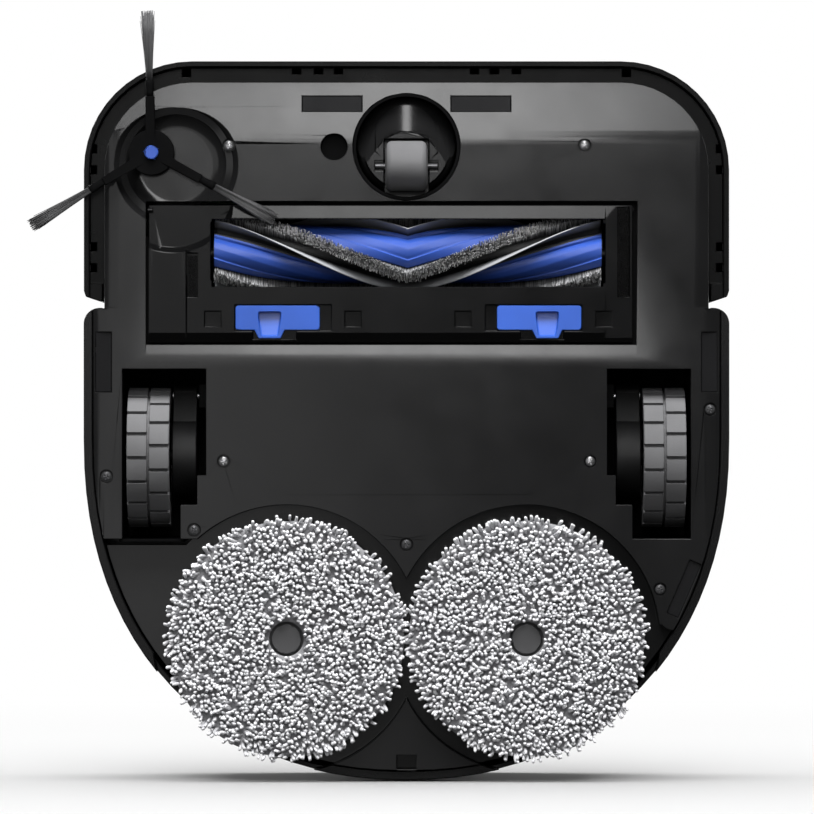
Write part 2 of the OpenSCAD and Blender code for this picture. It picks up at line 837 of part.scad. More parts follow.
// Pocket that a latch slides in, with a wider trough for the finger
module latch_pocket(x0, x1) {
  span(x0 - 0.4, x1 + 0.4, latch_y[0] - 0.4, latch_y[1] + 0.4, guard_z - 1, 10.6);
}

module brush_guard() color(black) place() {
  difference() {
    union() {
      // end blocks and rear panel
      span(guard[0], mouth[0], guard[2], guard[3], guard_z, guard_top);
      span(mouth[1], guard[1], guard[2], guard[3], guard_z + 1.3, guard_top);
      span(mouth[0] - 1, mouth[1] + 1, mouth[3], guard[3], guard_z, guard_top);
      // front rail
      span(mouth[0] - 1, mouth[1] + 1, guard[2], mouth[2], guard_z, guard_top);
    }
    rod_x(mouth[0] - 0.6, mouth[1] + 1.1, roll_y, roll_z, roll_r + 1);
    guard_dish();
    // sloping front and rear edges
    sweep_x(guard[0] - 1, guard[1] + 1, [[guard[2] - 1, guard_z - 1], [-101, guard_z - 1], [-101, guard_z],
      [guard[2] - 1, guard_z + 1.6]]);
    sweep_x(guard[0] - 1, guard[1] + 1, [[-43.5, guard_z - 1], [guard[3] + 1, guard_z - 1],
      [guard[3] + 1, guard_z + 3], [-43.5, guard_z]]);
    latch_pocket(latch_left_x, latch_left_x + latch_len + latch_travel + 0.5);
    latch_pocket(latch_right_x - latch_travel - 0.5, latch_right_x + latch_len);
    for (s = [-1, 1]) let (x = s < 0 ? latch_left_x + 17 : latch_right_x + latch_len - 17)
      span(x - (s < 0 ? 8.4 : 13.4), x + (s < 0 ? 13.4 : 8.4), latch_y[1], -40.2, guard_z - 1, 10.6);
    // four square recesses
    for (x = [-96.5, -26.6, 28.2, 98.3]) span(x - 4.15, x + 4.15, -54.3, -46.3, guard_z - 1, guard_z + 3);
    // grooves that take the bristle strips
    span(105.3, 111, -106.2, -61.3, guard_z, 9);
    span(-109.1, -103.8, -83.2, -61.3, guard_z - 1, 9);
    span(-109.9, -109.5, -110, -38, guard_z - 1, guard_z + 1);
  }
  // round hinge stubs at both ends of the front edge
  rod_x(guard[0] - 0.7, guard[0] + 2, hinge_y, hinge_z, 1.3);
  rod_x(guard[1] - 2, guard[1] + 0.7, hinge_y, hinge_z, 1.3);
}

module guard_bristles() color([0.02, 0.02, 0.02]) place() {
  span(105.5, 110.8, -106, -61.5, 6.6, 9);
  span(-108.9, -104, -82, -61.5, 6.2, 9);
}

// A blue slide with a trapezoid tab and a finger pocket
module latch(x0, pocket_x) {
  difference() {
    union() {
      round_box(x0, x0 + latch_len, latch_y[0], latch_y[1], guard_z + 0.3, 10.3, 1.6);
      translate([0, 0, guard_z + 0.3]) linear_extrude(3.5)
        polygon([[pocket_x - 8, latch_y[1] - 1], [pocket_x + 8, latch_y[1] - 1],
          [pocket_x + 5.5, -40.7], [pocket_x - 5.5, -40.7]]);
    }
    // finger pocket with a floor that slopes down to the tab
    hull() {
      round_box(pocket_x - 5.6, pocket_x + 5.6, -54, -50, guard_z - 1, 9.5, 1.2);
      round_box(pocket_x - 4.4, pocket_x + 4.4, -45, -42, guard_z - 1, 7.3, 1.2);
    }
  }
}

module latch_left() color(blue) place() latch(latch_left_x, latch_left_x + 17);
module latch_right() color(blue) place() latch(latch_right_x, latch_right_x + latch_len - 17);

module brush_core() color(blue) place() {
  rod_x(-roll_half + 1, roll_half + 1.4, roll_y, roll_z, 14.4);
  rod_x(-103.4, 111, roll_y, roll_z, 3);
}

// A strip from r0 to r1 that winds one way to the middle and back again
module chevron_strip(r0, r1, thick, turn) {
  for (s = [-1, 1]) translate([0.7, roll_y, roll_z]) rotate([0, 90 * s, 0])
    linear_extrude(roll_half - 0.5, twist = roll_twist * s, slices = 20, $fn = 8)
      rotate(s > 0 ? -turn : turn + 180) translate([r0, -thick / 2]) square([r1 - r0, thick]);
}

module brush_bristles() color(grey) place() {
  for (a = strip_angles) chevron_strip(13.6, roll_r, 4, a);
}

module brush_blades() color(soft_black) place() {
  for (a = strip_angles) chevron_strip(13.6, roll_r - 0.8, 1.4, a - 22);
}

// ---- Side brush ----

// Height of an arm's middle at radius r
function arm_z(r) = 6.6 - 4.6 * r / side_reach;

module side_brush() color(soft_black) place() {
  post(side_x, side_y, 5, 10.5, 11.4);
  post(side_x, side_y, 10.5, 12.6, 7);
  post(side_x, side_y, 12.6, 24, 2.5);
  for (a = arm_angles) translate([side_x, side_y, 0]) rotate(a) {
    rotate([90, 0, 0]) translate([0, 0, -2.25]) linear_extrude(4.5)
      polygon([[0, arm_z(0) - 1.2], [arm_reach, arm_z(arm_reach) - 1.4],
        [arm_reach, arm_z(arm_reach) + 1.4], [9, 9.5], [0, 9.5]]);
  }
}

module side_brush_cap() color(blue) place() {
  post(side_x, side_y, 2.9, 5, 3.5);
}

module side_brush_tufts() color([0.16, 0.16, 0.17]) place() {
  for (a = arm_angles) translate([side_x, side_y, 0]) rotate(a) intersection() {
    rotate([90, 0, 0]) translate([0, 0, -4]) linear_extrude(8)
      polygon([[arm_reach + 0.01, arm_z(arm_reach) - 1.1], [side_reach - 17, 0.9], [side_reach, 0.8],
        [side_reach, 2.2], [side_reach - 16, 2.4], [arm_reach + 0.01, arm_z(arm_reach) + 1.1]]);
    linear_extrude(20) polygon([[arm_reach, -1.85], [side_reach, -tuft_half],
      [side_reach, tuft_half], [arm_reach, 1.85]]);
  }
}

// ---- Mops ----

module mop_carriage() color(soft_black) place() {
  difference() {
    union() {
      span(-98, 98, mop_y - 9, mop_y + 9, 27, 31);
      for (s = [-1, 1]) {
        post(s * mop_x, mop_y, 26, 40, 12);
        span(s * mop_x - 14, s * mop_x + 14, mop_y, 147, 27, 31);
        post(s * 92, mop_y, 27, 40, 5);
      }
    }
    for (s = [-1, 1]) {
      post(s * mop_x, mop_y, 20, 38, 6 + fit);
      post(s * 92, mop_y, 20, 50, 2 + fit);
    }
  }
}

module mop_motors() color(grey) place() {
  for (s = [-1, 1]) round_box(s * mop_x - 12, s * mop_x + 12, 122.5, 146.5, 31, 52, 3);
}

module mop_plate(right) color(soft_black) place() on_side(right) {
  post(-mop_x, mop_y, pad_t, pad_t + 3, 55);
  post(-mop_x, mop_y, pad_t + 3, 37.5, 6);
  post(-mop_x, mop_y, pad_t - 2.5, pad_t, 7.4);
}

module mop_plate_left() mop_plate(false);
module mop_plate_right() mop_plate(true);

module mop_pad(right) color(pad_grey) place() on_side(right) {
  difference() {
    post(-mop_x, mop_y, 0, pad_t, mop_r);
    post(-mop_x, mop_y, -1, pad_t + 1, 7.9);
  }
}

module mop_pad_left() mop_pad(false);
module mop_pad_right() mop_pad(true);

chassis();
rear_shell();
top_shell();
cliff_windows();
silver_screws();
dark_screws();
carpet_sensor();
caster_socket();
brush_housing();
brush_bearing();
brush_drive();
side_brush_motor();
battery();
main_board();
suction_fan();
fan_impeller();
air_duct();
wheel_housing_left();
wheel_housing_right();
pivot_pins();
charging_contacts();
guide_rods();
lift_motor();
water_tank();
range_sensor();
bumper();
bumper_window();
power_button();
top_cover();
dust_bin();
bin_lid();
bin_filter();
wheel_arm_left();
wheel_arm_right();
suspension_spring_left();
suspension_spring_right();
wheel_hub_left();
wheel_hub_right();
tyre_left();
tyre_right();
caster_fork();
caster_axle();
caster_wheel();
brush_guard();
guard_bristles();
latch_left();
latch_right();
brush_core();
brush_bristles();
brush_blades();
side_brush();
side_brush_cap();
side_brush_tufts();
mop_carriage();
mop_motors();
mop_plate_left();
mop_plate_right();
mop_pad_left();
mop_pad_right();
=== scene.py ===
import json
import math
import random

import bmesh
import bpy
import numpy as np
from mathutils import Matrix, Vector


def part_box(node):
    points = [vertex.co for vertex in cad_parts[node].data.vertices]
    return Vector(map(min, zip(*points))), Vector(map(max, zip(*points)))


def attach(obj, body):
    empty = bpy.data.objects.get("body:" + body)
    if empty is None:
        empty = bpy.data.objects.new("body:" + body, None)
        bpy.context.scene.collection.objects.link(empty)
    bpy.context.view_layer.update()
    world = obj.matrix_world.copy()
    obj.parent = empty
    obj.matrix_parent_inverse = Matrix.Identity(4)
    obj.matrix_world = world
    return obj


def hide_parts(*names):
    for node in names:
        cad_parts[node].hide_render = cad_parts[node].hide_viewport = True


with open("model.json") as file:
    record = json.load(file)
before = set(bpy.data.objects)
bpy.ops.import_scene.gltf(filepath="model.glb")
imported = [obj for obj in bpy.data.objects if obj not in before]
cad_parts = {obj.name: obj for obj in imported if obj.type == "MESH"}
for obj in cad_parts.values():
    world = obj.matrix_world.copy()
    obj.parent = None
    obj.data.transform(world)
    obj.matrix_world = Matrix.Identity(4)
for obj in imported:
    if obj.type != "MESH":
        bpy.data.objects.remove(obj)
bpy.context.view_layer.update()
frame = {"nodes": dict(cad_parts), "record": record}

NODES = frame["nodes"]
MM = 0.001

# The body frame: the middle of the shell in X, and a set way ahead of its rear end in Y
BODY_TO_REAR = 179.5 * MM
shell_lo, shell_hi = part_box("rear_shell")
ORIGIN = Vector(((shell_lo.x + shell_hi.x) / 2, shell_hi.y - BODY_TO_REAR, 0.0))


def at(x, y, z=0.0):
    """A point given in the body frame in millimetres, in the row frame in metres."""
    return ORIGIN + Vector((x, y, z)) * MM


def middle(node):
    lo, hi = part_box(node)
    return (lo + hi) / 2


# ---- Materials ----

MATERIALS = {}


class Graph:
    """A material's node tree, with short calls for the nodes that the finishes share."""

    def __init__(self, name):
        self.mat = bpy.data.materials.new(name)
        self.mat.use_nodes = True
        self.tree = self.mat.node_tree
        self.bsdf = self.tree.nodes["Principled BSDF"]
        self.coord = self.new("ShaderNodeTexCoord").outputs["Object"]
        MATERIALS[name] = self.mat

    def new(self, kind, **values):
        node = self.tree.nodes.new(kind)
        for key, value in values.items():
            setattr(node, key, value)
        return node

    def link(self, a, b):
        self.tree.links.new(a, b)

    def noise(self, scale, detail=2.0, stretch=None):
        node = self.new("ShaderNodeTexNoise")
        node.inputs["Scale"].default_value = scale
        node.inputs["Detail"].default_value = detail
        source = self.coord
        if stretch:
            mapping = self.new("ShaderNodeMapping")
            mapping.inputs["Scale"].default_value = stretch
            self.link(source, mapping.inputs["Vector"])
            source = mapping.outputs["Vector"]
        self.link(source, node.inputs["Vector"])
        return node.outputs["Fac"]

    def remap(self, value, lo, hi, out_lo, out_hi):
        node = self.new("ShaderNodeMapRange")
        for name, number in zip(("From Min", "From Max", "To Min", "To Max"), (lo, hi, out_lo, out_hi)):
            node.inputs[name].default_value = number
        self.link(value, node.inputs["Value"])
        return node.outputs["Result"]

    def blend(self, factor, a, b):
        node = self.new("ShaderNodeMix", data_type="RGBA")
        self.link(factor, node.inputs["Factor"])
        for socket, colour in ((node.inputs[6], a), (node.inputs[7], b)):
            if isinstance(colour, tuple):
                socket.default_value = (*colour, 1.0)
            else:
                self.link(colour, socket)
        return node.outputs[2]

    def bump(self, value, depth):
        node = self.new("ShaderNodeBump")
        node.inputs["Distance"].default_value = depth
        node.inputs["Strength"].default_value = 1.0
        self.link(value, node.inputs["Height"])
        self.link(node.outputs["Normal"], self.bsdf.inputs["Normal"])

    def colour(self, socket):
        self.link(socket, self.bsdf.inputs["Base Color"])

    def roughness(self, socket):
        self.link(socket, self.bsdf.inputs["Roughness"])

    def set(self, **values):
        for key, value in values.items():
            self.bsdf.inputs[key.replace("_", " ")].default_value = value
        return self


def scaled(colour, factor):
    return tuple(min(1.0, c * factor) for c in colour)


def moulded(name, colour, rough, grain, depth, spread, specular, coat=0.0):
    """Moulded plastic or rubber: cloudy colour, uneven gloss and a fine moulded grain."""
    g = Graph(name)
    cloud = g.remap(g.noise(22.0, 3.0), 0.3, 0.7, 0, 1)
    g.colour(g.blend(cloud, scaled(colour, 0.86), scaled(colour, 1.14)))
    g.roughness(g.remap(g.noise(55.0, 4.0), 0.25, 0.75, rough - spread, rough + spread))
    g.bump(g.noise(grain, 2.0), depth)
    g.set(Specular_IOR_Level=specular)
    if coat:
        g.set(Coat_Weight=coat, Coat_Roughness=0.1)


def fibre_material(name, root, tip, rough, sheen, shade):
    """Fibres whose tone varies from one to the next, down to shade, and along their length."""
    g = Graph(name)
    tone = g.new("ShaderNodeAttribute", attribute_name="tone")
    along = g.new("ShaderNodeAttribute", attribute_name="along")
    mix = g.new("ShaderNodeMix", data_type="RGBA", blend_type="MULTIPLY")
    mix.inputs["Factor"].default_value = 1.0
    g.link(g.blend(along.outputs["Fac"], root, tip), mix.inputs[6])
    g.link(g.blend(tone.outputs["Fac"], (shade, shade, shade), (1.0, 1.0, 1.0)), mix.inputs[7])
    g.colour(mix.outputs[2])
    g.roughness(g.remap(g.noise(900.0), 0.3, 0.7, rough - 0.1, rough + 0.1))
    g.bump(g.noise(2600.0), 0.04 * MM)
    g.set(Sheen_Weight=sheen, Sheen_Roughness=0.4)


def steel_material():
    g = Graph("steel")
    g.colour(g.blend(g.noise(160.0, 3.0), (0.6, 0.6, 0.61), (0.82, 0.82, 0.84)))
    g.roughness(g.remap(g.noise(700.0, 3.0, (1, 14, 1)), 0.3, 0.7, 0.22, 0.42))
    g.bump(g.noise(1800.0, 2.0, (1, 12, 1)), 0.01 * MM)
    g.set(Metallic=1.0)


def dark_steel_material():
    g = Graph("dark_steel")
    g.colour(g.blend(g.noise(200.0, 3.0), (0.10, 0.10, 0.105), (0.2, 0.2, 0.205)))
    g.roughness(g.remap(g.noise(500.0, 3.0), 0.3, 0.7, 0.28, 0.45))
    g.bump(g.noise(1500.0), 0.01 * MM)
    g.set(Metallic=0.8)


def board_material():
    g = Graph("circuit_board")
    grid = g.new("ShaderNodeTexBrick")
    grid.inputs["Scale"].default_value = 90.0
    grid.inputs["Color1"].default_value = (0.02, 0.14, 0.06, 1)
    grid.inputs["Color2"].default_value = (0.025, 0.18, 0.075, 1)
    grid.inputs["Mortar"].default_value = (0.3, 0.26, 0.1, 1)
    grid.inputs["Mortar Size"].default_value = 0.012
    g.link(g.coord, grid.inputs["Vector"])
    g.colour(grid.outputs["Color"])
    g.roughness(g.remap(g.noise(300.0), 0.3, 0.7, 0.3, 0.5))
    g.bump(grid.outputs["Fac"], 0.03 * MM)


def filter_material():
    g = Graph("filter_media")
    wave = g.new("ShaderNodeTexWave")
    wave.inputs["Scale"].default_value = 160.0
    wave.inputs["Distortion"].default_value = 0.6
    g.link(g.coord, wave.inputs["Vector"])
    g.colour(g.blend(wave.outputs["Fac"], (0.55, 0.55, 0.52), (0.85, 0.85, 0.81)))
    g.roughness(g.remap(g.noise(600.0), 0.3, 0.7, 0.75, 0.95))
    g.bump(wave.outputs["Fac"], 0.3 * MM)


def blade_material(dark_until, light_from):
    """Brush-blade rubber, painted shade at its foot and a painted highlight at its tip, by the share of
    the blade's depth.
    """
    g = Graph("blade_rubber")
    along = g.new("ShaderNodeAttribute", attribute_name="along")
    painted_shade_to_highlight = g.remap(along.outputs["Fac"], dark_until, light_from, 0, 1)
    # painted shade at the blade's foot, turning to a painted highlight at its tip
    g.colour(g.blend(painted_shade_to_highlight, (0.006, 0.006, 0.007), (0.4, 0.41, 0.43)))
    g.roughness(g.remap(g.noise(300.0, 3.0), 0.3, 0.7, 0.32, 0.5))
    g.bump(g.noise(1400.0), 0.02 * MM)


# colour, roughness, grain scale, grain depth in mm, roughness spread, specular level and coat
MOULDED = {
    "black_shell": ((0.0098, 0.0098, 0.0101), 0.152, 2200.0, 0.004, 0.03, 0.5),
    # the rear shell's black is darker than black_shell: painted shade where the light falls off towards
    # the rear
    "rear_black_painted_shade": ((0.0045, 0.0045, 0.0047), 0.26, 2200.0, 0.004, 0.03, 0.3),
    "bumper_black": ((0.003, 0.003, 0.0031), 0.3, 2200.0, 0.006, 0.04, 0.14),
    "guard_black": ((0.0036, 0.0036, 0.0038), 0.16, 2000.0, 0.004, 0.03, 0.26),
    "black_cover": ((0.016, 0.016, 0.0165), 0.3, 2600.0, 0.008, 0.04, 0.5, 0.25),
    "black_plastic": ((0.0075, 0.0075, 0.0077), 0.48, 1800.0, 0.02, 0.07, 0.35),
    "black_matte": ((0.0028, 0.0028, 0.003), 0.6, 1500.0, 0.03, 0.08, 0.1),
    "grey_plastic": ((0.085, 0.085, 0.088), 0.45, 1500.0, 0.03, 0.05, 0.5),
    "plate_grey": ((0.062, 0.062, 0.064), 0.5, 1500.0, 0.03, 0.05, 0.5),
    "blue_plastic": ((0.03, 0.082, 0.39), 0.34, 1600.0, 0.012, 0.05, 0.5),
    "latch_blue": ((0.034, 0.115, 0.54), 0.36, 1600.0, 0.012, 0.05, 0.5),
    "smoked_window": ((0.0075, 0.0075, 0.0082), 0.5, 2400.0, 0.003, 0.06, 0.2),
    "tyre_rubber": ((0.145, 0.145, 0.149), 0.62, 1300.0, 0.05, 0.08, 0.35),
    "caster_rubber": ((0.145, 0.145, 0.149), 0.5, 1400.0, 0.03, 0.06, 0.4),
    "brush_rubber": ((0.03, 0.03, 0.031), 0.5, 1400.0, 0.03, 0.05, 0.5),
    "battery_wrap": ((0.04, 0.06, 0.12), 0.25, 900.0, 0.02, 0.05, 0.5),
    "mop_backing": ((0.26, 0.26, 0.27), 0.85, 700.0, 0.2, 0.08, 0.2),
}
# colour at the root, colour at the tip, roughness, sheen and the darkest tone
FIBRES = {
    "bristle": ((0.04, 0.04, 0.042), (0.72, 0.72, 0.73), 0.5, 0.2, 0.1),
    "seal_bristle": ((0.002, 0.002, 0.0021), (0.012, 0.012, 0.0125), 0.6, 0.0, 0.2),
    "black_bristle": ((0.03, 0.03, 0.031), (0.16, 0.16, 0.163), 0.5, 0.05, 0.2),
    # the mop fingers are darker at the root than at the tip: painted shade between the fingers
    "mop_fabric": ((0.36, 0.36, 0.38), (0.95, 0.95, 0.97), 0.85, 0.35, 0.6),
}
for finish_name, (base, rough_level, grain_scale, grain_depth, *rest) in MOULDED.items():
    moulded(finish_name, base, rough_level, grain_scale, grain_depth * MM, *rest)
for finish_name, values in FIBRES.items():
    fibre_material(finish_name, *values)
steel_material()
dark_steel_material()
board_material()
filter_material()
blade_material(0.35, 1.0)

# Nodes that look different from the rest of their slot; a slot has the finish of its own name
NODE_FINISH = {
    "top_cover": "black_cover", "rear_shell": "rear_black_painted_shade", "bumper": "bumper_black",
    "brush_guard": "guard_black", "latch_left": "latch_blue", "latch_right": "latch_blue",
    "caster_fork": "black_shell", "caster_axle": "dark_steel", "dark_screws": "dark_steel",
    "mop_plate_left": "plate_grey", "mop_plate_right": "plate_grey",
    "wheel_housing_left": "black_matte", "wheel_housing_right": "black_matte",
    "wheel_hub_left": "black_matte", "wheel_hub_right": "black_matte",
    "brush_housing": "black_matte", "caster_socket": "black_matte", "mop_carriage": "black_matte",
    "carpet_sensor": "black_matte", "side_brush": "black_matte",
}


# ---- CAD nodes: finishes, and edges rounded as a mould leaves them ----

# Widths of the rounded edges, in millimetres
EDGE = {
    "chassis": 0.3, "rear_shell": 0.5, "top_shell": 0.4, "bumper": 0.5, "top_cover": 0.7,
    "brush_guard": 0.3, "latch_left": 0.35, "latch_right": 0.35, "caster_fork": 0.35,
    "caster_wheel": 0.5, "tyre_left": 0.35, "tyre_right": 0.35, "wheel_hub_left": 0.3,
    "wheel_hub_right": 0.3, "wheel_arm_left": 0.4, "wheel_arm_right": 0.4,
    "wheel_housing_left": 0.3, "wheel_housing_right": 0.3, "side_brush": 0.4,
    "side_brush_cap": 0.5, "power_button": 0.4, "dust_bin": 0.4, "bin_lid": 0.4,
    "cliff_windows": 0.2, "mop_plate_left": 0.4, "mop_plate_right": 0.4, "battery": 0.8,
    "charging_contacts": 0.3,
}
CREASE = math.radians(17)
ROUNDED_FROM = math.radians(38)


def crease_group():
    """Marks the edges that turn by more than CREASE as sharp, so that flats stay flat."""
    group = bpy.data.node_groups.new("crease", "GeometryNodeTree")
    for direction in ("INPUT", "OUTPUT"):
        group.interface.new_socket("Geometry", in_out=direction, socket_type="NodeSocketGeometry")
    source, sink = group.nodes.new("NodeGroupInput"), group.nodes.new("NodeGroupOutput")
    turn = group.nodes.new("GeometryNodeInputMeshEdgeAngle")
    compare = group.nodes.new("FunctionNodeCompare")
    compare.data_type = "FLOAT"
    compare.operation = "LESS_THAN"
    compare.inputs["B"].default_value = CREASE
    shade = group.nodes.new("GeometryNodeSetShadeSmooth")
    shade.domain = "EDGE"
    group.links.new(source.outputs[0], shade.inputs["Geometry"])
    group.links.new(turn.outputs["Unsigned Angle"], compare.inputs["A"])
    group.links.new(compare.outputs["Result"], shade.inputs["Shade Smooth"])
    group.links.new(shade.outputs[0], sink.inputs[0])
    return group


CREASE_GROUP = crease_group()


def soften(obj, width):
    weld = obj.modifiers.new("weld", "WELD")
    weld.merge_threshold = 0.01 * MM
    crease = obj.modifiers.new("crease", "NODES")
    crease.node_group = CREASE_GROUP
    edge = obj.modifiers.new("edge", "BEVEL")
    edge.width = width * MM
    edge.segments = 2
    edge.limit_method = "ANGLE"
    edge.angle_limit = ROUNDED_FROM
    edge.use_clamp_overlap = False
    normal = obj.modifiers.new("normal", "WEIGHTED_NORMAL")
    normal.keep_sharp = True
    normal.weight = 60


slots = {part["node"]: part["material_slot"] for part in frame["record"]["subparts"]}
for node_name, node_object in NODES.items():
    mesh_data = node_object.data
    mesh_data.materials.clear()
    mesh_data.materials.append(MATERIALS[NODE_FINISH.get(node_name) or slots[node_name]])
    mesh_data.polygons.foreach_set("use_smooth", [True] * len(mesh_data.polygons))
for node_name, edge_width in EDGE.items():
    soften(NODES[node_name], edge_width)


# ---- Mesh building ----

UP = np.array([0, 0, 1.0])


def build(name, verts, loops, totals, material, body, slot, hides=(), smooth=True,
          attributes=None, extra=()):
    """A mesh piece from arrays, with its finish, body and the CAD nodes that it stands for; the slot
    argument is not used.
    """
    mesh = bpy.data.meshes.new(name)
    verts = np.asarray(verts, np.float32).reshape(-1, 3)
    loops = np.asarray(loops, np.int32).ravel()
    totals = np.asarray(totals, np.int32).ravel()
    mesh.vertices.add(len(verts))
    mesh.vertices.foreach_set("co", verts.ravel())
    mesh.loops.add(len(loops))
    mesh.loops.foreach_set("vertex_index", loops)
    mesh.polygons.add(len(totals))
    starts = np.concatenate(([0], np.cumsum(totals)[:-1])).astype(np.int32)
    mesh.polygons.foreach_set("loop_start", starts)
    mesh.update(calc_edges=True)
    mesh.validate()
    mesh.polygons.foreach_set("use_smooth", [smooth] * len(mesh.polygons))
    for key, values in (attributes or {}).items():
        layer = mesh.attributes.new(key, "FLOAT", "POINT")
        layer.data.foreach_set("value", np.asarray(values, np.float32))
    obj = bpy.data.objects.new(name, mesh)
    bpy.context.scene.collection.objects.link(obj)
    for finish in (material, *extra):
        mesh.materials.append(MATERIALS[finish])
    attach(obj, body)
    if hides:
        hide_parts(*hides)
    return obj


def recalc(obj):
    """Turns the faces of a closed mesh outwards."""
    bm = bmesh.new()
    bm.from_mesh(obj.data)
    bmesh.ops.recalc_face_normals(bm, faces=bm.faces)
    bm.to_mesh(obj.data)
    bm.free()


def unit(vectors):
    return vectors / np.maximum(np.linalg.norm(vectors, axis=-1, keepdims=True), 1e-12)


def full_turn(count):
    """Angles of count columns evenly round a circle."""
    return np.linspace(0, 2 * math.pi, count, endpoint=False)


def strands(paths, radii, sides):
    """Closed tubes along paths (n, rings, 3), with radii (rings,) or (n, rings).

    Returns vertices, loops, totals, and for each vertex its share of the length and its strand.
    """
    paths = np.asarray(paths, float)
    n, rings, _ = paths.shape
    radii = np.broadcast_to(np.asarray(radii, float), (n, rings))
    direction = unit(paths[:, -1] - paths[:, 0])
    off_x = np.abs(direction[:, :1]) < 0.8
    helper = np.where(off_x, np.array([[1.0, 0, 0]]), np.array([[0, 1.0, 0]]))
    u = unit(np.cross(direction, helper))
    v = np.cross(direction, u)
    turn = full_turn(sides)
    ring = np.cos(turn)[:, None, None] * u + np.sin(turn)[:, None, None] * v  # sides, n, 3
    ring = np.moveaxis(ring, 0, 1)  # n, sides, 3
    verts = paths[:, :, None, :] + radii[:, :, None, None] * ring[:, None, :, :]
    base = (np.arange(n) * rings * sides)[:, None, None]
    corner = base + (np.arange(rings - 1) * sides)[None, :, None]
    s = np.arange(sides)[None, None, :]
    s2 = (s + 1) % sides
    quads = np.stack([corner + s, corner + s2, corner + sides + s2, corner + sides + s], -1)
    quads = quads.reshape(-1, 4)
    tip = (base[:, 0, :] + (rings - 1) * sides + np.arange(sides)[None, :])
    root = (base[:, 0, :] + np.arange(sides)[None, ::-1])
    loops = np.concatenate([quads.ravel(), tip.ravel(), root.ravel()])
    totals = np.concatenate([np.full(len(quads), 4), np.full(2 * n, sides)])
    along = np.broadcast_to(np.linspace(0, 1, rings)[None, :, None], (n, rings, sides)).ravel()
    owner = np.repeat(np.arange(n), rings * sides)
    return verts.reshape(-1, 3), loops, totals, along, owner


def grid_faces(rows, columns):
    """Quads of a rows x columns lattice of vertices, with the last column joined to the first."""
    r = np.arange(rows - 1)[:, None] * columns
    c = np.arange(columns)[None, :]
    c2 = (c + 1) % columns
    return np.stack([r + c, r + c2, r + columns + c2, r + columns + c], -1).reshape(-1, 4)


class Tubes:
    """The arrays of one mesh made of closed tubes."""

    def __init__(self):
        self.verts, self.loops, self.totals, self.count = [], [], [], 0

    def add(self, points):
        """Adds a tube of points (rings, columns, 3), with a face on its first and last ring."""
        rows, columns = points.shape[:2]
        faces = grid_faces(rows, columns) + self.count
        ring = self.count + np.arange(columns)
        self.loops += [faces.ravel(), ring[::-1], ring + (rows - 1) * columns]
        self.totals += [np.full(len(faces), 4), [columns, columns]]
        self.verts.append(points.reshape(-1, 3))
        self.count += rows * columns

    def arrays(self):
        return [np.concatenate(part) for part in (self.verts, self.loops, self.totals)]


# ---- Mop pads: a felt backing with chenille fingers ----

MOP_STRANDS = 3000
MOP_TUFTS = 260
PAD_RADIUS = 59.4 * MM
PAD_HOLE = 8.6 * MM
FINGER_ROOT = 5.2 * MM
FINGER_LOWEST = 0.12 * MM
# section of the felt disc: the height and the radius of each of its rings
FELT_HEIGHT = np.array([6.3, 4.5, 4.1, 4.1, 4.5, 5.4, 6.4, 6.4]) * MM
FELT_RADIUS = np.array([PAD_HOLE, PAD_HOLE, PAD_HOLE + 0.8 * MM, PAD_RADIUS - 3 * MM,
                        PAD_RADIUS - 1 * MM, PAD_RADIUS - 0.7 * MM, PAD_RADIUS - 1.0 * MM,
                        PAD_HOLE + 0.5 * MM])


